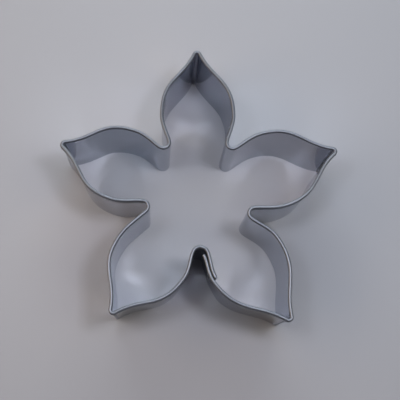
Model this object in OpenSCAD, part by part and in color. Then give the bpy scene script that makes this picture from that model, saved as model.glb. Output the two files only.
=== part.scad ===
// Flower pastry cutter: one strip of thin sheet steel, bent to an outline of five pointed petals.
// Its top edge is rolled outwards, and its two ends lap at one notch and are spot welded.
// Millimetres, +Z up. The cutting edge rests on z = 0, and the origin is under the middle of the outline.

/* [Strip] */
// Height of the strip, from its cutting edge to the top of the rolled edge
strip_h = 25.4; // [12:0.1:60]
// Thickness of the sheet
sheet_t = 0.35; // [0.25:0.05:0.6]
// Depth of the rolled edge, from its top down to its free lip
hem_depth = 2.2; // [1.6:0.1:5]
// Clear width left inside the rolled edge
hem_gap = 0.38; // [0.2:0.02:0.8]

/* [Petals] */
// Distance from the middle to a petal's tip, on the sheet's mid line
tip_reach = 46.8; // [42:0.1:60]
// Distance from the middle to the widest place of a petal
belly_reach = 25.4; // [22:0.1:30]
// Half of a petal's width at its widest place
belly_half_w = 11.7; // [9:0.1:13]
// Distance from the middle to the notch between two petals
notch_reach = 17.2; // [14:0.1:19]
// Radius inside the bend at a petal's tip
tip_inner_r = 0.5; // [0.3:0.1:3]
// Clear radius left outside the rolled edge in a notch
notch_clear_r = 1.3; // [0.8:0.1:2]
// Angle that the sheet turns through on each side of a tip
tip_turn = 65; // [50:1:75]
// Angle that the sheet turns through on each side of a notch
notch_turn = 60; // [45:1:75]

/* [Sweep of the sides] */
// Length over which a side leaves the bend at its tip
tip_ease = 10; // [6:0.5:13]
// Length over which a side comes level on the tip's side of its widest place
belly_ease_tip = 12; // [6:0.5:14]
// Length over which a side draws in on the notch's side of its widest place
belly_ease_notch = 3.5; // [1:0.5:5]
// Length over which a side meets the bend at its notch
notch_ease = 2; // [1:0.5:4]

/* [Seam] */
// Length of the lap between the two ends
lap_len = 8.2; // [5:0.1:9]
// Distance along the strip from the notch to the outer layer's free end
lap_start = 3.2; // [2.8:0.1:4]
// Clearance between the two layers at their rolled edges
lap_gap = 0.1; // [0.05:0.05:0.5]
// How far the outer layer's free end springs away
lap_spring = 0.35; // [0:0.05:1]
// Distance along the lap from the outer layer's free end to the welds
weld_place = 5; // [3:0.1:6]
// Diameter of a weld
weld_d = 2.6; // [1.5:0.1:3]
// Number of welds, one above another
weld_count = 2; // [1:1:4]
// Height of the lowest weld's middle above the cutting edge
weld_low = 5.5; // [2.5:0.1:8]
// Distance from the highest weld's middle to the top of the strip
weld_top_drop = 8; // [5:0.1:12]

/* [Hidden] */

petals = 5;
petal_step = 360 / petals;
// The petals are counted clockwise from the seam, seen from above
first_tip_angle = -90 - petal_step / 2;
// The strip is bent by hand round a former, so no two petals are quite alike:
// how much further each tip reaches, and how many degrees it leans
reach_more = [-0.8, -1, 0.7, -0.6, 1.6];
tip_lean = [1.4, -0.9, 1, 0.2, -0.8];
// how much fuller each petal is on each side
fuller = [-0.1, -0.2, -0.3, 0.4, 0.2];
// how much further the notch after each petal lies, and how many degrees it swings
notch_more = [-0.9, 0.4, 0.2, -0.5, 0.8];
notch_swing = [-2, -0.5, 2.6, -2.8, -0.4];

// Steps in each bend, and in the side's two sweeps
bend_steps = 5;
front_steps = 12;
back_steps = 8;
// Steps round the outside and the inside of the rolled edge
roll_steps = 6;
roll_inner_steps = 4;

// Across the strip, u is measured outwards from the sheet's mid line
face_u = sheet_t / 2;
roll_inner_r = hem_gap / 2;
roll_outer_r = roll_inner_r + sheet_t;
roll_u = face_u + roll_inner_r;
hem_w = 2 * roll_outer_r;
lip_u = hem_w - face_u;
roll_z = strip_h - roll_outer_r;
lip_z = strip_h - hem_depth;

tip_bend_r = tip_inner_r + face_u;
notch_bend_r = notch_clear_r + lip_u;
lap_end = lap_start + lap_len;
layer_offset = hem_w + lap_gap;
// A weld is drawn longer than the space between the layers, which trims it
weld_drawn_len = 3 * layer_offset;
weld_facets = 48;

function unit(v) = v / norm(v);
function polar(r, a) = r * [cos(a), sin(a)];
function left_of(v) = [-v.y, v.x];
function reverse(list) = [for (i = [len(list) - 1 : -1 : 0]) list[i]];
function but_last(list) = [for (i = [0 : len(list) - 2]) list[i]];
function but_first(list) = [for (i = [1 : len(list) - 1]) list[i]];
function ease(x) = let (c = min(1, max(0, x))) c * c * (3 - 2 * c);

// Cubic curve from a to d, which leaves a along v and comes into d along w
function sweep(a, v, w, d, steps) = [
    for (i = [0 : steps])
        let (t = i / steps, s = 1 - t)
        s * s * s * a + 3 * s * s * t * (a + v) + 3 * s * t * t * (d - w) + t * t * t * d
];

function tip_angle(k) = first_tip_angle - k * petal_step + tip_lean[k];
function tip(k) = polar(tip_reach + reach_more[k], tip_angle(k));
function notch_angle(k) = first_tip_angle - (k + 0.5) * petal_step + notch_swing[k];
function notch(k) = polar(notch_reach + notch_more[k], notch_angle(k));
function before(k) = (k + petals - 1) % petals;

// One side of petal k, from its tip to the notch beside it: side is 1 clockwise and -1 the other way
function petal_side(k, side) =
    let (
        beside_notch = side > 0 ? k : before(k),
        mid = (notch(k) + notch(before(k))) / 2,
        out = unit(tip(k) - mid),
        across = -side * left_of(out),
        middle = mid - out * notch_reach * cos(petal_step / 2),
        belly = middle + out * belly_reach + across * (belly_half_w + fuller[k]),
        tip_centre = tip(k) - out * tip_bend_r,
        notch_out = polar(1, notch_angle(beside_notch)),
        along = -side * left_of(notch_out),
        notch_centre = notch(beside_notch) + notch_out * notch_bend_r,
        tip_bend = [
            for (i = [0 : bend_steps])
                let (a = tip_turn * i / bend_steps)
                tip_centre + tip_bend_r * (out * cos(a) + across * sin(a))
        ],
        notch_bend = [
            for (i = [bend_steps : -1 : 0])
                let (a = notch_turn * i / bend_steps)
                notch_centre - notch_bend_r * (notch_out * cos(a) + along * sin(a))
        ],
        leaving = across * cos(tip_turn) - out * sin(tip_turn),
        arriving = along * cos(notch_turn) - notch_out * sin(notch_turn)
    )
    concat(
        tip_bend,
        but_first(sweep(tip_bend[bend_steps], leaving * tip_ease, -out * belly_ease_tip, belly, front_steps)),
        but_first(sweep(belly, -out * belly_ease_notch, arriving * notch_ease, notch_bend[0], back_steps)),
        but_first(notch_bend)
    );

// Distance along a path to each of its points
function stations(path) = [
    for (i = 0, s = 0; i < len(path); i = i + 1, s = i < len(path) ? s + norm(path[i] - path[i - 1]) : s) s
];
function point_at(path, marks, s) = [
    lookup(s, [for (i = [0 : len(path) - 1]) [marks[i], path[i].x]]),
    lookup(s, [for (i = [0 : len(path) - 1]) [marks[i], path[i].y]])
];

// Direction to the left of an open path at point i, long enough to keep mitred corners even
function mitre(path, i) =
    let (
        n = len(path) - 1,
        came = left_of(unit(path[max(i, 1)] - path[max(i, 1) - 1])),
        goes = left_of(unit(path[min(i, n - 1) + 1] - path[min(i, n - 1)])),
        both = came + goes
    )
    both / (both * came);
function beside(path, u) = [for (i = [0 : len(path) - 1]) path[i] + u * mitre(path, i)];

// The last petal's side as it would run to the seam's notch, counted back from the notch
seam_side = reverse(petal_side(petals - 1, 1));
seam_marks = stations(seam_side);
seam_out = [for (i = [0 : len(seam_side) - 1]) -unit(mitre(seam_side, i))];
function seam_point(s) = point_at(seam_side, seam_marks, s);
function seam_outwards(s) = unit(point_at(seam_out, seam_marks, s));

// Inner layer: moved in by the width of the rolled edge, which eases off round the notch
function moved_in(s) = -layer_offset * ease((s + lap_start) / (2 * lap_start));
inner_marks = concat([lap_end], reverse([for (s = seam_marks) if (s < lap_end) s]));
inner_layer = [for (s = inner_marks) seam_point(s) + moved_in(s) * seam_outwards(s)];

// Outer layer: its free end springs away from the welds onwards
function sprung(s) = lap_spring * pow(max(0, 1 - (s - lap_start) / (weld_place - weld_d / 2)), 2);
outer_marks = concat(reverse([for (s = seam_marks) if (s > lap_start) s]), [lap_start]);
outer_layer = [for (s = outer_marks) seam_point(s) + sprung(s) * seam_outwards(s)];

// First petal's side away from the notch, where the inner layer eases back to its place
first_side = reverse(petal_side(0, -1));
first_marks = stations(first_side);
first_eased = [
    for (i = [1 : len(first_side) - 2])
        first_side[i] + moved_in(-first_marks[i]) * unit(mitre(first_side, i))
];

raw_path = concat(
    inner_layer,
    first_eased,
    but_last(petal_side(0, 1)),
    [
        for (k = [1 : petals - 2])
            each concat(but_last(reverse(petal_side(k, -1))), but_last(petal_side(k, 1)))
    ],
    but_last(reverse(petal_side(petals - 1, -1))),
    outer_layer
);

// The origin goes under the middle of the rolled edge's box
raw_edge = concat(beside(raw_path, lip_u), beside(raw_path, -face_u));
function mid_of(values) = (min(values) + max(values)) / 2;
origin = [mid_of([for (p = raw_edge) p.x]), mid_of([for (p = raw_edge) p.y])];
path = [for (p = raw_path) p - origin];
steps = len(path) - 1;

// Section of the rolled edge above the straight wall, as [u, z] points
roll_section = concat(
    [
        for (i = [0 : roll_steps])
            let (a = 180 - 180 * i / roll_steps)
            [roll_u + roll_outer_r * cos(a), roll_z + roll_outer_r * sin(a)]
    ],
    [[lip_u, lip_z], [lip_u - sheet_t, lip_z]],
    [
        for (i = [0 : roll_inner_steps])
            let (a = 180 * i / roll_inner_steps)
            [roll_u + roll_inner_r * cos(a), roll_z + roll_inner_r * sin(a)]
    ]
);

// A section swept along the strip's path, with its ends closed
module along_path(section) {
    n = len(section);
    points = [
        for (i = [0 : steps])
            let (m = mitre(path, i))
            for (c = section) [path[i].x + c.x * m.x, path[i].y + c.x * m.y, c.y]
    ];
    sides = [
        for (i = [0 : steps - 1], j = [0 : n - 1])
            let (a = i * n + j, b = i * n + (j + 1) % n)
            each [[a, b, b + n], [a, b + n, a + n]]
    ];
    start = [for (j = [n - 1 : -1 : 0]) j];
    end = [for (j = [0 : n - 1]) steps * n + j];
    polyhedron(points, concat(sides, [start, end]), convexity = 10);
}

module cutter_band() {
    color([0.66, 0.67, 0.7])
    union() {
        linear_extrude(roll_z)
        polygon(concat(beside(path, face_u), reverse(beside(path, -face_u))));
        along_path(roll_section);
    }
}

// The space between the two layers of the lap, where the welds are
module lap_space() {
    inner_face = beside(path, face_u);
    outer_face = beside(path, -face_u);
    first_outer = len(path) - len(outer_marks);
    linear_extrude(roll_z)
    polygon(concat(
        [for (i = [0 : len(inner_marks) - 1]) if (inner_marks[i] >= lap_start) inner_face[i]],
        reverse([
            for (i = [0 : len(outer_marks) - 1])
                if (outer_marks[i] <= lap_end) outer_face[first_outer + i]
        ])
    ));
}

module seam_spot_welds() {
    s = lap_start + weld_place;
    out = seam_outwards(s);
    place = seam_point(s) - origin;
    rise = weld_count > 1 ? (strip_h - weld_top_drop - weld_low) / (weld_count - 1) : 0;
    color([0.45, 0.44, 0.46])
    for (i = [0 : weld_count - 1])
        intersection() {
            lap_space();
            translate([place.x, place.y, weld_low + i * rise])
            rotate([0, 90, atan2(out.y, out.x)])
            cylinder(h = weld_drawn_len, d = weld_d, center = true, $fn = weld_facets);
        }
}

cutter_band();
seam_spot_welds();
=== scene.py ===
from functools import partial
import math

import bpy
import mathutils
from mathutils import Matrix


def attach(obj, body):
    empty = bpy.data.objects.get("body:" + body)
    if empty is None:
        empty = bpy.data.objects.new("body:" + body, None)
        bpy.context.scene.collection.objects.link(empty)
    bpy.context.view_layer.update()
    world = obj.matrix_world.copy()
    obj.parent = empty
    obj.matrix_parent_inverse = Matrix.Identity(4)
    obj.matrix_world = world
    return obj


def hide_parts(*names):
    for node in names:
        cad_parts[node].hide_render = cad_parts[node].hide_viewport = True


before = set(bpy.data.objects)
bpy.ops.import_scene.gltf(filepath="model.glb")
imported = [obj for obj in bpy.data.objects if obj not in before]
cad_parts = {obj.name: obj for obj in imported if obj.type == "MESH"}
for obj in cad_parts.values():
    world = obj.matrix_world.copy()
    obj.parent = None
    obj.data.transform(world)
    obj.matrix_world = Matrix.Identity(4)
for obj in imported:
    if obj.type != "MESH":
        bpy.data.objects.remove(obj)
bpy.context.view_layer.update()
mm = 0.001  # sizes below are in millimetres, as on the real cutter


# Node helpers

def addNode(tree, kind, values=None, **settings):
    # values fills the node's own sockets by name or number, settings its properties
    node = tree.nodes.new(kind)
    for name, value in settings.items():
        setattr(node, name, value)
    for socket, value in (values or {}).items():
        putInto(tree, node.inputs[socket], value)
    return node


def putInto(tree, socket, value):
    if isinstance(value, bpy.types.NodeSocket):
        tree.links.new(value, socket)
    elif isinstance(value, bpy.types.Node):
        tree.links.new(value.outputs[0], socket)
    else:
        socket.default_value = value


def calc(tree, operation, *values, clamp=False):
    node = addNode(tree, "ShaderNodeMath", dict(enumerate(values)), operation=operation, use_clamp=clamp)
    return node.outputs[0]


def least(tree, values):
    out = values[0]
    for value in values[1:]:
        out = calc(tree, "MINIMUM", out, value)
    return out


def ramped(tree, value, fromLow, fromHigh, toLow=0.0, toHigh=1.0, shape="LINEAR"):
    names = ("Value", "From Min", "From Max", "To Min", "To Max")
    values = dict(zip(names, (value, fromLow, fromHigh, toLow, toHigh)))
    node = addNode(tree, "ShaderNodeMapRange", values, interpolation_type=shape, clamp=True)
    return node.outputs["Result"]


def vectorCalc(tree, operation, a, b=None, scale=None):
    node = addNode(tree, "ShaderNodeVectorMath", {0: a}, operation=operation)
    if b is not None:
        putInto(tree, node.inputs[1], b)
    if scale is not None:
        putInto(tree, node.inputs["Scale"], scale)
    return node.outputs["Value" if operation in ("DISTANCE", "LENGTH") else "Vector"]


def joined(tree, x=0.0, y=0.0, z=0.0):
    return addNode(tree, "ShaderNodeCombineXYZ", {"X": x, "Y": y, "Z": z}).outputs[0]


def noise(tree, place, scale, detail=3.0, roughness=0.5):
    values = {"Vector": place, "Scale": scale, "Detail": detail, "Roughness": roughness}
    return addNode(tree, "ShaderNodeTexNoise", values).outputs[0]


# Camera, standing where the photograph was taken from

viewSizes = {
    "place": (-12.55, -61.6, 244.5),  # mm from the middle of the cutting edge's plane
    "turn": (14.02, -3.32, 0.17),  # degrees
    "lens": 64.8,  # mm
    "sensor": 36.0,
    "nearest": 10,  # mm, what lies closer isn't drawn
}


def makeCamera():
    data = bpy.data.cameras.new("viewCamera")
    data.lens = viewSizes["lens"]
    data.sensor_width = viewSizes["sensor"]
    data.clip_start = viewSizes["nearest"] * mm
    camera = bpy.data.objects.new("viewCamera", data)
    camera.location = [v * mm for v in viewSizes["place"]]
    camera.rotation_euler = [math.radians(v) for v in viewSizes["turn"]]
    bpy.context.collection.objects.link(camera)
    bpy.context.scene.camera = camera


makeCamera()
print("camera placed")

# The strip of sheet and its outline, the same sizes as the frame's band

stripSizes = {
    "height": 25.4,  # from the cutting edge to the top of the rolled edge
    "sheet": 0.35,  # thickness
    "hemDepth": 2.2,  # from the top of the rolled edge to its lip
    "hemGap": 0.38,  # clear width inside the rolled edge
    "tipReach": 46.8,  # from the middle to a petal's tip, on the sheet's mid line
    "bellyReach": 25.4,
    "bellyHalf": 11.7,
    "notchReach": 17.2,
    "tipInner": 0.5,  # radius inside the bend at a tip
    "notchClear": 1.3,  # clear radius left outside the rolled edge in a notch
    "tipTurn": 65,  # degrees that the sheet turns through on each side of a tip
    "notchTurn": 60,  # and of a notch
    # lengths over which a side leaves its tip, comes level, draws in again and meets its notch
    "tipEase": 10,
    "bellyEaseTip": 12,
    "bellyEaseNotch": 3.5,
    "notchEase": 2,
    # hand bending, petal by petal, clockwise from the seam
    "reachMore": (-0.8, -1, 0.7, -0.6, 1.6),
    "tipLean": (1.4, -0.9, 1, 0.2, -0.8),
    "fuller": (-0.1, -0.2, -0.3, 0.4, 0.2),
    "notchMore": (-0.9, 0.4, 0.2, -0.5, 0.8),
    "notchSwing": (-2, -0.5, 2.6, -2.8, -0.4),
}

seamSizes = {
    "lap": 8.2,  # length of the lap between the two ends
    "start": 3.2,  # along the strip, from the notch to the outer layer's free end
    "gap": 0.1,  # clearance between the two layers at their rolled edges
    "spring": 0.35,  # how far the outer layer's free end springs away
    "weldPlace": 5,  # along the lap, from the outer layer's free end
    "weldWide": 2.6,  # across the weld metal between the layers
    "weldHeights": (5.5, 17.4),  # above the cutting edge
}

pathSteps = {"bend": 10, "front": 30, "back": 18}
petals = 5
petalStep = 360 / petals
hemWide = 2 * stripSizes["sheet"] + stripSizes["hemGap"]
layerOffset = hemWide + seamSizes["gap"]


def polar(reach, degrees):
    a = math.radians(degrees)
    return mathutils.Vector((reach * math.cos(a), reach * math.sin(a)))


def leftOf(v):
    return mathutils.Vector((-v.y, v.x))


def ease(x):
    c = min(1, max(0, x))
    return c * c * (3 - 2 * c)


def sweepCurve(a, leaving, arriving, d, steps):
    # cubic curve from a to d
    out = []
    for i in range(steps + 1):
        t = i / steps
        s = 1 - t
        out.append(s ** 3 * a + 3 * s * s * t * (a + leaving) + 3 * s * t * t * (d - arriving) + t ** 3 * d)
    return out


def tipAt(k):
    angle = -90 - petalStep / 2 - k * petalStep + stripSizes["tipLean"][k]
    return polar(stripSizes["tipReach"] + stripSizes["reachMore"][k], angle)


def notchAngle(k):
    return -90 - petalStep - k * petalStep + stripSizes["notchSwing"][k]


def notchAt(k):
    return polar(stripSizes["notchReach"] + stripSizes["notchMore"][k], notchAngle(k))


def petalSide(k, side):
    # from petal k's tip to the notch beside it, side 1 clockwise and -1 the other way
    strip = stripSizes
    last = (k + petals - 1) % petals
    beside = k if side > 0 else last
    mid = (notchAt(k) + notchAt(last)) / 2
    out = (tipAt(k) - mid).normalized()
    across = -side * leftOf(out)
    middle = mid - out * strip["notchReach"] * math.cos(math.radians(petalStep / 2))
    belly = middle + out * strip["bellyReach"] + across * (strip["bellyHalf"] + strip["fuller"][k])
    tipBend = strip["tipInner"] + strip["sheet"] / 2
    notchBend = strip["notchClear"] + hemWide - strip["sheet"] / 2
    tipCentre = tipAt(k) - out * tipBend
    notchOut = polar(1, notchAngle(beside))
    along = -side * leftOf(notchOut)
    notchCentre = notchAt(beside) + notchOut * notchBend
    tipTurn, notchTurn = math.radians(strip["tipTurn"]), math.radians(strip["notchTurn"])
    n = pathSteps["bend"]
    tip, notch = [], []
    for i in range(n + 1):
        a = tipTurn * i / n
        tip.append(tipCentre + tipBend * (out * math.cos(a) + across * math.sin(a)))
        b = notchTurn * (n - i) / n
        notch.append(notchCentre - notchBend * (notchOut * math.cos(b) + along * math.sin(b)))
    leaving = (across * math.cos(tipTurn) - out * math.sin(tipTurn)) * strip["tipEase"]
    arriving = (along * math.cos(notchTurn) - notchOut * math.sin(notchTurn)) * strip["notchEase"]
    front = sweepCurve(tip[-1], leaving, -out * strip["bellyEaseTip"], belly, pathSteps["front"])
    back = sweepCurve(belly, -out * strip["bellyEaseNotch"], arriving, notch[0], pathSteps["back"])
    return tip + front[1:] + back[1:] + notch[1:]


def marksAlong(points):
    marks = [0.0]
    for a, b in zip(points, points[1:]):
        marks.append(marks[-1] + (b - a).length)
    return marks


def mitre(points, i):
    # to the left of the path, long enough to keep its thickness round a bend
    came = leftOf((points[max(i, 1)] - points[max(i, 1) - 1]).normalized())
    last = len(points) - 2
    goes = leftOf((points[min(i, last) + 1] - points[min(i, last)]).normalized())
    both = came + goes
    return both / both.dot(came)


def atMark(points, marks, mark):
    for i in range(1, len(marks)):
        if marks[i] >= mark or i == len(marks) - 1:
            t = (mark - marks[i - 1]) / (marks[i] - marks[i - 1])
            return points[i - 1].lerp(points[i], t)


def stripPath():
    # one open path, clockwise from the inner layer's free end to the outer layer's
    start, lap = seamSizes["start"], seamSizes["lap"]
    seamSide = petalSide(petals - 1, 1)[::-1]
    seamMarks = marksAlong(seamSide)
    seamOut = [-mitre(seamSide, i).normalized() for i in range(len(seamSide))]

    def outAt(mark):
        return atMark(seamOut, seamMarks, mark).normalized()

    def shifted(mark, shift):
        return atMark(seamSide, seamMarks, mark) + shift * outAt(mark)

    def movedIn(mark):
        return -layerOffset * ease((mark + start) / (2 * start))

    def sprung(mark):
        near = seamSizes["weldPlace"] - seamSizes["weldWide"] / 2
        return seamSizes["spring"] * max(0, 1 - (mark - start) / near) ** 2

    innerMarks = [start + lap] + [mark for mark in seamMarks if mark < start + lap][::-1]
    outerMarks = [mark for mark in seamMarks if mark > start][::-1] + [start]
    path = [shifted(mark, movedIn(mark)) for mark in innerMarks]
    firstSide = petalSide(0, -1)[::-1]
    firstMarks = marksAlong(firstSide)
    for i in range(1, len(firstSide) - 1):
        path.append(firstSide[i] + movedIn(-firstMarks[i]) * mitre(firstSide, i).normalized())
    path += petalSide(0, 1)[:-1]
    for k in range(1, petals - 1):
        path += petalSide(k, -1)[::-1][:-1] + petalSide(k, 1)[:-1]
    path += petalSide(petals - 1, -1)[::-1][:-1]
    path += [shifted(mark, sprung(mark)) for mark in outerMarks]
    # the frame's origin is under the middle of the rolled edge's box
    edge = [path[i] + mitre(path, i) * u for i in range(len(path))
            for u in (-stripSizes["sheet"] / 2, hemWide - stripSizes["sheet"] / 2)]
    middle = mathutils.Vector([(min(e[c] for e in edge) + max(e[c] for e in edge)) / 2 for c in (0, 1)])
    weldMark = start + seamSizes["weldPlace"]
    weld = atMark(seamSide, seamMarks, weldMark) - middle, outAt(weldMark)
    return [p - middle for p in path], weld


pathPoints, weldSpot = stripPath()
pathMarks = marksAlong(pathPoints)
print("path of", len(pathPoints), "points,", round(pathMarks[-1], 1), "mm of strip")


def tipMarks():
    # how far along the strip each petal's tip is, where the path is furthest out
    reach = [p.length for p in pathPoints]
    return [pathMarks[i] for i in range(1, len(reach) - 1) if reach[i - 1] < reach[i] >= reach[i + 1]]


# The band: a flat blank in the tree's first node, rolled at one edge and bent along the path

bandFinish = {
    "edgeRound": 0.06,  # mm, on every cut edge of the sheet
    "roundSteps": 3,  # faces round half of such an edge
    "cutSteps": ((2, 0.0), (1.7, 0.8)),  # past a cut end: how many edgeRounds, and how full the sheet is
    "columns": 80,  # faces round the section, both sides of the sheet together
    "wallShare": 0.4,  # of the faces between the rounded edges, on the wall
    "rollShare": 0.4,  # and over the roll
    "pinch": 0.77,  # mm that the outer layer is squeezed in below its rolled edge at the lap
    "pinchFade": 6.0,  # mm over which the squeeze dies out past the lap
    "pinchDrop": 3.2,  # mm below the lip at which the squeeze is complete
    "buckle": 0.1,  # mm of hand bending's unevenness
    "buckleScale": 90.0,  # how close its bumps lie
    "dip": 0.08,  # mm by which the rolled edge wanders down
    "dipScale": 45.0,
    "upShrink": 0.6,  # unevenness is longer up the wall than along it
    "seed": 4,
}


def makePathMesh():
    # a bare line of vertices that carries what the bending needs to know at each place
    last = len(pathPoints) - 1
    steps = [(far * bandFinish["edgeRound"], fullness) for far, fullness in bandFinish["cutSteps"]]
    rows = [(0, -shift, fullness) for shift, fullness in steps]
    rows += [(i, 0.0, 1.0) for i in range(last + 1)]
    rows += [(last, shift, fullness) for shift, fullness in steps[::-1]]
    places, outwards = [], []
    for i, shift, fullness in rows:
        m = mitre(pathPoints, i)
        ahead = mathutils.Vector((m.y, -m.x)).normalized()
        p = pathPoints[i] + ahead * shift
        places.append((p.x * mm, p.y * mm, 0))
        outwards.append(m)
    mesh = bpy.data.meshes.new("stripPath")
    mesh.from_pydata(places, [(i, i + 1) for i in range(len(places) - 1)], [])
    alongs = [(pathMarks[i] + shift) * mm for i, shift, fullness in rows]
    fields = {
        "along": alongs,
        "toFreeEnd": [pathMarks[-1] * mm - along for along in alongs],
        "fullness": [fullness for i, shift, fullness in rows],
    }
    for name, values in fields.items():
        mesh.attributes.new(name, "FLOAT", "POINT").data.foreach_set("value", values)
    sideways = [c for m in outwards for c in (m.x, m.y, 0.0)]
    mesh.attributes.new("outward", "FLOAT_VECTOR", "POINT").data.foreach_set("vector", sideways)
    return bpy.data.objects.new("cutterBand", mesh)


def socketKind(value):
    if isinstance(value, bpy.types.Object):
        return "NodeSocketObject"
    return {int: "NodeSocketInt", float: "NodeSocketFloat", tuple: "NodeSocketVector"}[type(value)]


def openTree(name, source, result, sizes):
    # a new tree with one input for the mesh it starts from and one for each size
    tree = bpy.data.node_groups.new(name, "GeometryNodeTree")
    tree.interface.new_socket(source, in_out="INPUT", socket_type="NodeSocketGeometry")
    sockets = {}
    for size, value in sizes.items():
        socket = tree.interface.new_socket(size, in_out="INPUT", socket_type=socketKind(value))
        sockets[size] = socket.identifier
    tree.interface.new_socket(result, in_out="OUTPUT", socket_type="NodeSocketGeometry")
    return tree, tree.nodes.new("NodeGroupInput").outputs, sockets


def closeTree(tree, geometry, material):
    smooth = addNode(tree, "GeometryNodeSetShadeSmooth", {"Geometry": geometry}).outputs[0]
    real = addNode(tree, "GeometryNodeRealizeInstances", {"Geometry": smooth}).outputs[0]
    dressed = addNode(tree, "GeometryNodeSetMaterial", {"Geometry": real, "Material": material}).outputs[0]
    addNode(tree, "NodeGroupOutput", {0: dressed})


def settle(piece, tree, sizes, sockets):
    # runs the tree once and keeps its result as a plain mesh
    modifier = piece.modifiers.new(tree.name, "NODES")
    modifier.node_group = tree
    for name, value in sizes.items():
        modifier[sockets[name]] = value
    bpy.context.collection.objects.link(piece)
    bpy.context.view_layer.update()
    ready = piece.evaluated_get(bpy.context.evaluated_depsgraph_get())
    mesh = bpy.data.meshes.new_from_object(ready)
    piece.modifiers.clear()
    old = piece.data
    piece.data = mesh
    bpy.data.meshes.remove(old)
    return piece


def rolledSection(tree, given, column, fullness):
    # for each column of the blank: how far out from the path, how far up, and where on the flat sheet
    do = partial(calc, tree)
    roundSteps = bandFinish["roundSteps"]
    wallShare, rollShare = bandFinish["wallShare"], bandFinish["rollShare"]

    # columns count up one side of the sheet and down the other
    halfColumns = do("MULTIPLY", given["Columns"], 0.5)
    up = do("MINIMUM", column, do("SUBTRACT", given["Columns"], column))
    down = do("SUBTRACT", halfColumns, up)
    outside = do("SUBTRACT", do("MULTIPLY", do("LESS_THAN", column, halfColumns), 2), 1)
    lowTurn = do("MULTIPLY", do("DIVIDE", do("SUBTRACT", up, 1), roundSteps, clamp=True), math.pi / 2)
    topTurn = do("MULTIPLY", do("DIVIDE", do("SUBTRACT", down, 1), roundSteps, clamp=True), math.pi / 2)
    plainColumns = do("SUBTRACT", halfColumns, 2 * (roundSteps + 1))
    share = do("DIVIDE", do("SUBTRACT", up, roundSteps + 1), plainColumns, clamp=True)

    halfSheet = do("MULTIPLY", given["Sheet"], 0.5)
    rollInner = do("MULTIPLY", given["Hem gap"], 0.5)
    rollMid = do("ADD", rollInner, halfSheet)
    rollOuter = do("ADD", rollInner, given["Sheet"])
    rollLength = do("MULTIPLY", rollMid, math.pi)
    wallUp = do("SUBTRACT", given["Height"], rollOuter)
    lipDown = do("SUBTRACT", given["Hem depth"], rollOuter)

    # developed distance up the sheet, with the rows of faces closer towards both ends of the wall,
    # so that it is shaded level
    wallPart = ramped(tree, share, 0.0, wallShare, 0.0, 1.0, "SMOOTHSTEP")
    wallPart = ramped(tree, wallPart, 0.0, 1.0, 0.0, 1.0, "SMOOTHSTEP")
    rollPart = do("DIVIDE", do("SUBTRACT", share, wallShare), rollShare, clamp=True)
    lipPart = ramped(tree, share, wallShare + rollShare, 1.0)
    onWall = do("MULTIPLY", wallPart, do("SUBTRACT", wallUp, given["Edge round"]))
    onRoll = do("MULTIPLY", rollPart, rollLength)
    onLip = do("MULTIPLY", lipPart, do("SUBTRACT", lipDown, given["Edge round"]))
    lowEdge = do("MULTIPLY", given["Edge round"], do("SUBTRACT", 1, do("COSINE", lowTurn)))
    topEdge = do("MULTIPLY", given["Edge round"], do("COSINE", topTurn))
    distance = do("ADD", do("ADD", do("ADD", lowEdge, onWall), do("ADD", onRoll, onLip)), topEdge)

    # how thick the sheet still is on its rounded edges
    fullTurn = do("MINIMUM", do("SINE", lowTurn), do("SINE", topTurn))
    cut = do("MULTIPLY", given["Edge round"], do("SUBTRACT", 1, fullTurn))
    isEdge = do("LESS_THAN", do("MINIMUM", up, down), 0.5)
    thick = do("MULTIPLY", do("SUBTRACT", halfSheet, cut), do("SUBTRACT", 1, isEdge))
    side = do("MULTIPLY", do("MULTIPLY", thick, fullness), outside)

    # the sheet goes up the wall, over the roll and down to its lip
    pastWall = do("SUBTRACT", distance, wallUp)
    turn = do("MINIMUM", do("MAXIMUM", do("DIVIDE", pastWall, rollMid), 0), math.pi)
    lipRun = do("MAXIMUM", do("SUBTRACT", pastWall, rollLength), 0)
    sheetOut = do("MULTIPLY", rollMid, do("SUBTRACT", 1, do("COSINE", turn)))
    rollUp = do("ADD", do("MINIMUM", distance, wallUp), do("MULTIPLY", rollMid, do("SINE", turn)))
    sheetUp = do("SUBTRACT", rollUp, lipRun)
    out = do("ADD", sheetOut, do("MULTIPLY", side, do("COSINE", turn)))
    high = do("SUBTRACT", sheetUp, do("MULTIPLY", side, do("SINE", turn)))
    return out, high, do("MULTIPLY", distance, outside)


def handBent(tree, given, out, high, along, toFreeEnd):
    do = partial(calc, tree)

    # the squeeze at the lap, below the rolled edge
    lipHeight = do("SUBTRACT", given["Height"], given["Hem depth"])
    pinchFloor = do("SUBTRACT", lipHeight, given["Pinch drop"])
    lowEnough = ramped(tree, high, pinchFloor, lipHeight, 1.0, 0.0, "SMOOTHSTEP")
    pinchEnd = do("ADD", given["Lap length"], given["Pinch fade"])
    nearLap = ramped(tree, toFreeEnd, given["Lap length"], pinchEnd, 1.0, 0.0, "SMOOTHSTEP")
    pinched = do("MULTIPLY", do("MULTIPLY", lowEnough, nearLap), given["Pinch"])

    # the wall is left a little uneven, always inwards, and the rolled edge a little low
    bendPlace = joined(tree, along, do("MULTIPLY", high, bandFinish["upShrink"]), given["Seed"])
    uneven = noise(tree, bendPlace, bandFinish["buckleScale"], detail=1.5)
    wander = noise(tree, bendPlace, bandFinish["dipScale"], detail=1.0)
    upShare = do("DIVIDE", high, given["Height"], clamp=True)
    out = do("SUBTRACT", out, do("ADD", pinched, do("MULTIPLY", uneven, given["Buckle"])))
    high = do("SUBTRACT", high, do("MULTIPLY", do("MULTIPLY", wander, upShare), given["Dip"]))
    return out, high


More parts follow.
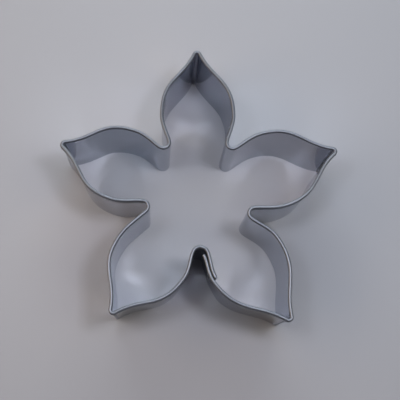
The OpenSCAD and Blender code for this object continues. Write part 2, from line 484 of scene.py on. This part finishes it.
def makeRolledStripTree(material):
    sizes = {
        "Height": stripSizes["height"] * mm,
        "Sheet": stripSizes["sheet"] * mm,
        "Hem depth": stripSizes["hemDepth"] * mm,
        "Hem gap": stripSizes["hemGap"] * mm,
        "Edge round": bandFinish["edgeRound"] * mm,
        "Columns": bandFinish["columns"],
        "Lap length": seamSizes["lap"] * mm,
        "Pinch": bandFinish["pinch"] * mm,
        "Pinch fade": bandFinish["pinchFade"] * mm,
        "Pinch drop": bandFinish["pinchDrop"] * mm,
        "Buckle": bandFinish["buckle"] * mm,
        "Dip": bandFinish["dip"] * mm,
        "Seed": bandFinish["seed"],
    }
    tree, given, sockets = openTree("rolledStrip", "Path", "Strip", sizes)
    do = partial(calc, tree)

    # the blank: one row for each place on the path, one column for each step round the section
    pathSize = addNode(tree, "GeometryNodeAttributeDomainSize", {"Geometry": given["Path"]})
    across = do("ADD", given["Columns"], 1)
    blankSize = {"Vertices X": pathSize.outputs["Point Count"], "Vertices Y": across}
    blank = addNode(tree, "GeometryNodeMeshGrid", blankSize)
    index = addNode(tree, "GeometryNodeInputIndex").outputs[0]
    row = do("FLOOR", do("DIVIDE", do("ADD", index, 0.5), across))  # the half guards against rounding
    column = do("SUBTRACT", index, do("MULTIPLY", row, across))

    def fromPath(field, dataType):
        values = {"Geometry": given["Path"], "Value": field, "Index": row}
        return addNode(tree, "GeometryNodeSampleIndex", values, data_type=dataType).outputs["Value"]

    def onPath(name, dataType="FLOAT"):
        field = addNode(tree, "GeometryNodeInputNamedAttribute", {"Name": name}, data_type=dataType)
        return fromPath(field.outputs["Attribute"], dataType)

    along = onPath("along")
    out, high, upSheet = rolledSection(tree, given, column, onPath("fullness"))
    out, high = handBent(tree, given, out, high, along, onPath("toFreeEnd"))

    onFloor = fromPath(addNode(tree, "GeometryNodeInputPosition").outputs[0], "FLOAT_VECTOR")
    outward = vectorCalc(tree, "SCALE", onPath("outward", "FLOAT_VECTOR"), scale=out)
    place = vectorCalc(tree, "ADD", vectorCalc(tree, "ADD", onFloor, outward), joined(tree, z=high))

    # each corner of a face keeps its place on the flat sheet as the map for the steel's lines
    keptFlat = addNode(tree, "GeometryNodeCaptureAttribute", {"Geometry": blank.outputs["Mesh"]})
    keptFlat.capture_items.new("VECTOR", "flat")
    putInto(tree, keptFlat.inputs["flat"], joined(tree, along, upSheet))
    bent = addNode(tree, "GeometryNodeSetPosition",
                   {"Geometry": keptFlat.outputs["Geometry"], "Position": place}).outputs[0]
    mapped = addNode(tree, "GeometryNodeStoreNamedAttribute",
                     {"Geometry": bent, "Name": "stripMap", "Value": keptFlat.outputs["flat"]},
                     data_type="FLOAT2", domain="CORNER").outputs[0]
    mergeWithin = 0.001 * mm  # joins the two sides of the sheet where they meet at its edges
    closed = addNode(tree, "GeometryNodeMergeByDistance", {"Geometry": mapped, "Distance": mergeWithin})
    turned = addNode(tree, "GeometryNodeFlipFaces", {"Mesh": closed.outputs[0]}).outputs[0]
    closeTree(tree, turned, material)
    return tree, sizes, sockets


# Places that both the steel and the welds need

weldSizes = {
    "wide": 2.7,  # mm across the mark on either face
    "proud": 0.06,  # the ring that the electrode pushed up
    "centreProud": 0.012,
    "ring": (0.45, 0.8),  # the dish rises to its ring between these shares of the radius
    "skirt": (0.86, 0.985),  # and its edge goes under the sheet between these
    "skirtDeep": 1.5,  # times proud
    "segments": 40,
    "rings": 28,
    "waist": 0.01,  # share of the radius that stays between the layers
    "aside": 3.0,  # how far off either face is looked for
    "lookFor": 1.2,  # times aside, how far the look goes
}


def weldPlaces():
    # in metres, midway between the two layers where they are squeezed together
    spot, outward = weldSpot
    centre = spot - outward * (layerOffset + bandFinish["pinch"]) / 2
    return [(centre.x * mm, centre.y * mm, z * mm) for z in seamSizes["weldHeights"]]


# Finishes

def startMaterial(name, diffuse):
    material = bpy.data.materials.new(name)
    material.use_nodes = True
    material.diffuse_color = (*diffuse, 1)
    tree = material.node_tree
    tree.nodes.clear()
    return material, tree, addNode(tree, "ShaderNodeBsdfPrincipled")


def mixColour(tree, factor, a, b):
    node = addNode(tree, "ShaderNodeMix", data_type="RGBA")
    factorSocket, firstColour, secondColour, colourOut = 0, 6, 7, 2  # the node's own socket numbers
    for i, value in ((factorSocket, factor), (firstColour, a), (secondColour, b)):
        putInto(tree, node.inputs[i], (*value, 1) if isinstance(value, tuple) else value)
    return node.outputs[colourOut]


def stretched(tree, place, x, y):
    return addNode(tree, "ShaderNodeMapping", {"Vector": place, "Scale": (x, y, 1.0)}).outputs[0]


steelFinish = {
    "colour": (0.47, 0.49, 0.53),
    "dull": (0.42, 0.44, 0.48),
    "dullScale": 70,  # of the cloudy change between the two
    "dullRange": (0.3, 0.7),
    "edgeTint": (0.97, 0.98, 1.0),  # of reflections at a grazing angle
    "roughness": 0.13,
    "rollingLines": 0.1,  # strength of the mill's fine lines along the strip
    "lineDepth": 0.02,  # mm
    "fineLines": (60, 5200),  # how close, along the sheet and up it
    "coarseLines": (18, 900),
    "coarseShare": 0.6,  # of the fine lines' depth
    "streaks": 0.1,  # how much the shine changes along the mill's lines
    "smudges": 0.08,  # how much rougher a fingered place is
    "smudgeScale": 140,
    "smudgeRange": (0.5, 0.72),
    "scratches": 0.12,  # how much rougher a scratch is
    "scratchLines": (150, 7000),
    "scratchRange": (0.69, 0.75),
    "edgeWear": 0.7,  # mm above the cutting edge that dough and boards have dulled
    "edgeRoughness": 0.14,  # how much rougher the worn edge is
    "bendFrom": 0.5,  # mm along the sheet from a petal's tip, where the tight bend is rougher and painted darker as shade
    "bendTo": 1.4,
    "bendRoughness": 0.3,
    # painted shade in the tight bend at each tip
    "tipBendShadeColour": (0.3, 0.31, 0.35),
    "crestFrom": 24.5,  # mm up the sheet, where the rolled edge starts to be rougher and painted darker, a painted shade that dims its highlights
    "crestTo": 25.0,
    "lipFrom": 26.0,  # and where the painted darkening eases off on the lip
    "lipTo": 26.6,
    "lipShare": 0.35,
    "crestRoughness": 0.45,
    # painted shade: the rolled edge's steel and its grazing reflections are made darker, to dim its
    # highlights
    "crestShadeColour": (0.225, 0.232, 0.254),
    "crestShadeEdgeTint": (0.3, 0.31, 0.33),
    "strawTo": 2.3,  # mm from a weld's middle that its heat coloured the sheet
    "strawShare": 0.8,
    "straw": (0.43, 0.38, 0.29),
    "blueTo": 3.1,
    "blueShare": 0.7,
    "blue": (0.31, 0.35, 0.46),
}


def makeSteel():
    finish = steelFinish
    material, tree, shader = startMaterial("bentSheetSteel", finish["colour"])
    do = partial(calc, tree)
    flat = addNode(tree, "ShaderNodeUVMap", uv_map="stripMap").outputs[0]
    onSheet = addNode(tree, "ShaderNodeSeparateXYZ", {0: flat}).outputs
    place = addNode(tree, "ShaderNodeTexCoord").outputs["Object"]

    def fade(value, fromLow, fromHigh, toLow, toHigh):
        return ramped(tree, value, fromLow * mm, fromHigh * mm, toLow, toHigh, "SMOOTHSTEP")

    # marks all over the sheet
    cloudy = ramped(tree, noise(tree, place, finish["dullScale"], detail=4), *finish["dullRange"])
    smudge = noise(tree, place, finish["smudgeScale"], detail=5, roughness=0.6)
    smudge = ramped(tree, smudge, *finish["smudgeRange"])
    fine = noise(tree, stretched(tree, flat, *finish["fineLines"]), 1, detail=2)
    coarse = noise(tree, stretched(tree, flat, *finish["coarseLines"]), 1, detail=3)
    scratch = noise(tree, stretched(tree, flat, *finish["scratchLines"]), 1, detail=1)
    scratch = ramped(tree, scratch, *finish["scratchRange"])

    # the heat of a weld leaves a straw patch with a blue rim round it
    fromWeld = least(tree, [vectorCalc(tree, "DISTANCE", place, spot) for spot in weldPlaces()])
    blue = fade(fromWeld, finish["strawTo"], finish["blueTo"], finish["blueShare"], 0.0)
    straw = fade(fromWeld, weldSizes["wide"] / 2, finish["strawTo"], finish["strawShare"], 0.0)

    # wear at the cutting edge and at the tips' bends, and painted shade in the tips' bends
    worn = fade(do("ABSOLUTE", onSheet["Y"]), 0.0, finish["edgeWear"], 1.0, 0.0)
    fromTip = least(tree, [do("ABSOLUTE", do("SUBTRACT", onSheet["X"], mark * mm)) for mark in tipMarks()])
    bent = fade(fromTip, finish["bendFrom"], finish["bendTo"], 1.0, 0.0)

    # the rolled edge is the part of the sheet past the top of the inner wall, painted darker there as shade
    crest = fade(onSheet["Y"], -finish["crestFrom"], -finish["crestTo"], 0.0, 1.0)
    lip = fade(onSheet["Y"], -finish["lipFrom"], -finish["lipTo"], 1.0, finish["lipShare"])
    crest = do("MULTIPLY", crest, lip)

    tone = mixColour(tree, cloudy, finish["dull"], finish["colour"])
    # the bends' colour and the rolled edge's colour are painted shade
    for share, colour in ((blue, "blue"), (straw, "straw"), (bent, "tipBendShadeColour"), (crest, "crestShadeColour")):
        tone = mixColour(tree, share, tone, finish[colour])
    # the rolled edge's darker grazing reflections are painted shade too
    tint = mixColour(tree, crest, finish["edgeTint"], finish["crestShadeEdgeTint"])
    rough = finish["roughness"]
    streaky = do("SUBTRACT", coarse, 0.5)
    for share, more in ((smudge, "smudges"), (streaky, "streaks"), (scratch, "scratches"),
                        (worn, "edgeRoughness"), (bent, "bendRoughness")):
        rough = do("ADD", rough, do("MULTIPLY", share, finish[more]))
    rough = ramped(tree, crest, 0.0, 1.0, rough, finish["crestRoughness"])
    height = do("ADD", fine, do("MULTIPLY", coarse, finish["coarseShare"]))
    bump = {"Strength": finish["rollingLines"], "Distance": finish["lineDepth"] * mm, "Height": height}

    putInto(tree, shader.inputs["Base Color"], tone)
    shader.inputs["Metallic"].default_value = 1.0
    putInto(tree, shader.inputs["Specular Tint"], tint)
    putInto(tree, shader.inputs["Roughness"], rough)
    putInto(tree, shader.inputs["Normal"], addNode(tree, "ShaderNodeBump", bump))
    addNode(tree, "ShaderNodeOutputMaterial", {"Surface": shader})
    return material


def makeCutterBand():
    tree, sizes, sockets = makeRolledStripTree(makeSteel())
    band = settle(makePathMesh(), tree, sizes, sockets)
    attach(band, "root")
    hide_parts("cutter_band")
    return band


cutterBand = makeCutterBand()
print("cutter band:", len(cutterBand.data.polygons), "faces")


# The welds: each nugget goes through both layers and shows as a dished mark on either face

weldFinish = {
    "colour": (0.42, 0.41, 0.42),
    "tint": (0.48, 0.40, 0.30),  # straw colour that the heat left
    "tintScale": 500,
    "tintRange": (0.35, 0.65),
    "roughness": 0.3,
    "grainScale": 1800,
    "grainRoughness": 0.3,  # how much the shine changes from grain to grain
    "grainStrength": 0.25,
    "grainDepth": 0.02,  # mm
}


def makeWeldMetal():
    finish = weldFinish
    material, tree, shader = startMaterial("weldMetal", finish["colour"])
    do = partial(calc, tree)
    place = addNode(tree, "ShaderNodeTexCoord").outputs["Object"]
    grain = noise(tree, place, finish["grainScale"], detail=3)
    tinted = ramped(tree, noise(tree, place, finish["tintScale"], detail=2), *finish["tintRange"])
    uneven = do("MULTIPLY", do("SUBTRACT", grain, 0.5), finish["grainRoughness"])
    bump = {"Strength": finish["grainStrength"], "Distance": finish["grainDepth"] * mm, "Height": grain}
    putInto(tree, shader.inputs["Base Color"], mixColour(tree, tinted, finish["colour"], finish["tint"]))
    shader.inputs["Metallic"].default_value = 1.0
    putInto(tree, shader.inputs["Roughness"], do("ADD", finish["roughness"], uneven))
    putInto(tree, shader.inputs["Normal"], addNode(tree, "ShaderNodeBump", bump))
    addNode(tree, "ShaderNodeOutputMaterial", {"Surface": shader})
    return material


def makeWeldTree(material, band):
    weld = weldSizes
    outward = weldSpot[1]
    sizes = {
        "Radius": weld["wide"] / 2 * mm,
        "Proud": weld["proud"] * mm,
        "Centre proud": weld["centreProud"] * mm,
        "Aside": weld["aside"] * mm,
        "Outward": (outward.x, outward.y, 0.0),
        "Band": band,
    }
    tree, given, sockets = openTree("weldMarks", "Spots", "Welds", sizes)
    do = partial(calc, tree)

    def outBy(amount):
        return vectorCalc(tree, "SCALE", given["Outward"], scale=amount)

    # one ball for each spot, which remembers where on the ball every point was
    ballSize = {"Segments": weld["segments"], "Rings": weld["rings"], "Radius": 1.0}
    ball = addNode(tree, "GeometryNodeMeshUVSphere", ballSize).outputs["Mesh"]
    onBall = addNode(tree, "GeometryNodeCaptureAttribute", {"Geometry": ball})
    onBall.capture_items.new("VECTOR", "ball")
    putInto(tree, onBall.inputs["ball"], addNode(tree, "GeometryNodeInputPosition"))
    facing = addNode(tree, "FunctionNodeAlignRotationToVector", {"Vector": given["Outward"]}, axis="Z")
    placed = addNode(tree, "GeometryNodeInstanceOnPoints",
                     {"Points": given["Spots"], "Instance": onBall.outputs["Geometry"],
                      "Rotation": facing.outputs[0], "Scale": given["Radius"]}).outputs[0]
    real = addNode(tree, "GeometryNodeRealizeInstances", {"Geometry": placed}).outputs[0]

    # each half of the ball is laid on the face of the lap that it looks at
    parts = addNode(tree, "ShaderNodeSeparateXYZ", {0: onBall.outputs["ball"]}).outputs
    axial = parts["Z"]
    radial = vectorCalc(tree, "LENGTH", joined(tree, parts["X"], parts["Y"]))
    position = addNode(tree, "GeometryNodeInputPosition").outputs[0]
    base = vectorCalc(tree, "SUBTRACT", position, outBy(do("MULTIPLY", axial, given["Radius"])))
    side = do("SIGN", axial)
    away = outBy(do("MULTIPLY", side, given["Aside"]))
    back = outBy(do("MULTIPLY", side, -1.0))
    target = addNode(tree, "GeometryNodeObjectInfo", {"Object": given["Band"]}, transform_space="RELATIVE")
    hit = addNode(tree, "GeometryNodeRaycast",
                  {"Target Geometry": target.outputs["Geometry"],
                   "Source Position": vectorCalc(tree, "ADD", base, away), "Ray Direction": back,
                   "Ray Length": do("MULTIPLY", given["Aside"], weld["lookFor"])}).outputs

    # the dish, its ring, and the edge that goes under the sheet
    ring = ramped(tree, radial, *weld["ring"], given["Centre proud"], given["Proud"], "SMOOTHSTEP")
    skirtDeep = do("MULTIPLY", given["Proud"], weld["skirtDeep"])
    skirt = ramped(tree, radial, *weld["skirt"], 0.0, skirtDeep, "SMOOTHSTEP")
    lift = do("MULTIPLY", side, do("SUBTRACT", ring, skirt))
    onFace = vectorCalc(tree, "ADD", hit["Hit Position"], outBy(lift))
    isFace = do("GREATER_THAN", do("ABSOLUTE", axial), weld["waist"])
    isFace = do("MULTIPLY", isFace, hit["Is Hit"])
    chosen = addNode(tree, "ShaderNodeMix", data_type="VECTOR")
    factorSocket, firstVector, secondVector, vectorOut = 0, 4, 5, 1  # the node's own socket numbers
    for i, value in ((factorSocket, isFace), (firstVector, base), (secondVector, onFace)):
        putInto(tree, chosen.inputs[i], value)
    moved = {"Geometry": real, "Position": chosen.outputs[vectorOut]}
    closeTree(tree, addNode(tree, "GeometryNodeSetPosition", moved).outputs[0], material)
    return tree, sizes, sockets


def makeWeldSpots(band):
    mesh = bpy.data.meshes.new("weldPlaces")
    mesh.from_pydata(weldPlaces(), [], [])
    tree, sizes, sockets = makeWeldTree(makeWeldMetal(), band)
    welds = settle(bpy.data.objects.new("seamWelds", mesh), tree, sizes, sockets)
    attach(welds, "root")
    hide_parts("seam_spot_welds")
    return welds


seamWelds = makeWeldSpots(cutterBand)
print("seam welds:", len(seamWelds.data.polygons), "faces")


# Floor and light

floorSizes = {
    "half": 2.0,  # metres
    "colour": (0.418, 0.408, 0.428),
    "roughness": 0.6,
    "paleFrom": 0.11,  # metres from the middle, where the lamps' light gives way to an even pale tone
    "paleTo": 0.26,
    "paleTone": (0.345, 0.346, 0.366),
}

roomTones = {
    "dark": (0.01, 0.01, 0.012),  # the room's own faint light
    # reflections show the pale tone low down and the dark room higher up,
    # where 0 is level and 1 is straight up
    "paleBelow": 0.3,
    "darkAbove": 0.5,
}

# up and round are the degrees that a lamp stands at, round from +X, and away, wide and deep are metres;
# a share is the part of the floor's light that the lamp gives
lamps = {
    "overheadMiddle": {"up": 87, "round": 90, "away": 0.3, "wide": 0.12, "deep": 0.05, "share": 0.135,
                       "colour": (0.93, 0.95, 1.11)},
    "overheadLeft": {"up": 71.5, "round": 188, "away": 0.316, "wide": 0.055, "deep": 0.055, "share": 0.115,
                     "colour": (0.87, 0.98, 1.14)},
    "overheadRight": {"up": 73.5, "round": -7, "away": 0.313, "wide": 0.05, "deep": 0.05, "share": 0.205,
                      "colour": (0.92, 0.965, 1.11)},
    "rightPanel": {"up": 52, "round": 0, "away": 0.8, "wide": 0.35, "deep": 0.3, "share": 0.07,
                   "colour": (1.1, 1.06, 0.84)},
    "leftWindow": {"up": 31, "round": 180, "away": 0.6, "wide": 0.6, "deep": 0.4, "share": 0.145,
                   "colour": (1.3, 1.0, 0.7)},
    "backWindow": {"up": 30, "round": 90, "away": 0.5, "wide": 0.5, "deep": 0.22, "share": 0.285,
                   "colour": (0.92, 1.02, 1.07)},
    "backLeftWindow": {"up": 40, "round": 135, "away": 0.5, "wide": 0.35, "deep": 0.25, "share": 0.035,
                       "colour": (1.1, 1.0, 0.9)},
    "backRightWindow": {"up": 40, "round": 45, "away": 0.5, "wide": 0.35, "deep": 0.25, "share": 0.022,
                        "colour": (0.4, 1.0, 1.6)},
}


def makeFloor():
    half = floorSizes["half"]
    mesh = bpy.data.meshes.new("floor")
    corners = [(-half, -half, 0), (half, -half, 0), (half, half, 0), (-half, half, 0)]
    mesh.from_pydata(corners, [], [(0, 1, 2, 3)])
    floor = bpy.data.objects.new("floor", mesh)
    bpy.context.collection.objects.link(floor)
    material, tree, shader = startMaterial("paleTop", floorSizes["colour"])
    shader.inputs["Base Color"].default_value = (*floorSizes["colour"], 1)
    shader.inputs["Roughness"].default_value = floorSizes["roughness"]
    place = addNode(tree, "ShaderNodeTexCoord").outputs["Object"]
    fromMiddle = vectorCalc(tree, "LENGTH", place)
    far = ramped(tree, fromMiddle, floorSizes["paleFrom"], floorSizes["paleTo"], 0.0, 1.0, "SMOOTHSTEP")
    # the even tone is only for what the camera or a reflection sees, not for light on the cutter
    ray = addNode(tree, "ShaderNodeLightPath").outputs
    seen = calc(tree, "MAXIMUM", ray["Is Camera Ray"], ray["Is Glossy Ray"])
    pale = addNode(tree, "ShaderNodeEmission", {"Color": (*floorSizes["paleTone"], 1)})
    shown = {0: calc(tree, "MULTIPLY", far, seen), 1: shader, 2: pale}
    addNode(tree, "ShaderNodeOutputMaterial", {"Surface": addNode(tree, "ShaderNodeMixShader", shown)})
    mesh.materials.append(material)


def makeLamp(name, lamp):
    up = math.radians(lamp["up"])
    light = bpy.data.lights.new(name, "AREA")
    light.shape = "RECTANGLE"
    light.size = lamp["wide"]
    light.size_y = lamp["deep"]
    # with a share of 1, so many watts light a level floor at the origin to its own colour
    light.energy = math.pi ** 2 * lamp["away"] ** 2 / math.sin(up) * lamp["share"]
    light.color = lamp["colour"]
    holder = bpy.data.objects.new(name, light)
    reach = polar(lamp["away"] * math.cos(up), lamp["round"])
    holder.location = (reach.x, reach.y, lamp["away"] * math.sin(up))
    holder.rotation_euler = (math.pi / 2 - up, 0, math.radians(lamp["round"] + 90))
    holder.visible_camera = False
    bpy.context.collection.objects.link(holder)


def makeWorld():
    world = bpy.data.worlds.new("room")
    bpy.context.scene.world = world
    world.use_nodes = True
    tree = world.node_tree
    tree.nodes.clear()
    direction = addNode(tree, "ShaderNodeTexCoord").outputs["Generated"]
    up = addNode(tree, "ShaderNodeSeparateXYZ", {0: direction}).outputs["Z"]
    low = ramped(tree, up, roomTones["paleBelow"], roomTones["darkAbove"], 1.0, 0.0, "SMOOTHSTEP")
    ray = addNode(tree, "ShaderNodeLightPath").outputs
    lowGloss = calc(tree, "MULTIPLY", ray["Is Glossy Ray"], low)
    seen = calc(tree, "MAXIMUM", ray["Is Camera Ray"], lowGloss)
    tone = mixColour(tree, seen, roomTones["dark"], floorSizes["paleTone"])
    back = addNode(tree, "ShaderNodeBackground", {"Color": tone, "Strength": 1.0})
    addNode(tree, "ShaderNodeOutputWorld", {"Surface": back})


makeFloor()
makeWorld()
for name, lamp in lamps.items():
    makeLamp(name, lamp)
bpy.context.scene.cycles.blur_glossy = 0  # no added blur on the light that the steel throws on the floor
bpy.context.scene.view_settings.view_transform = "Standard"
print("floor and", len(lamps), "lamps")
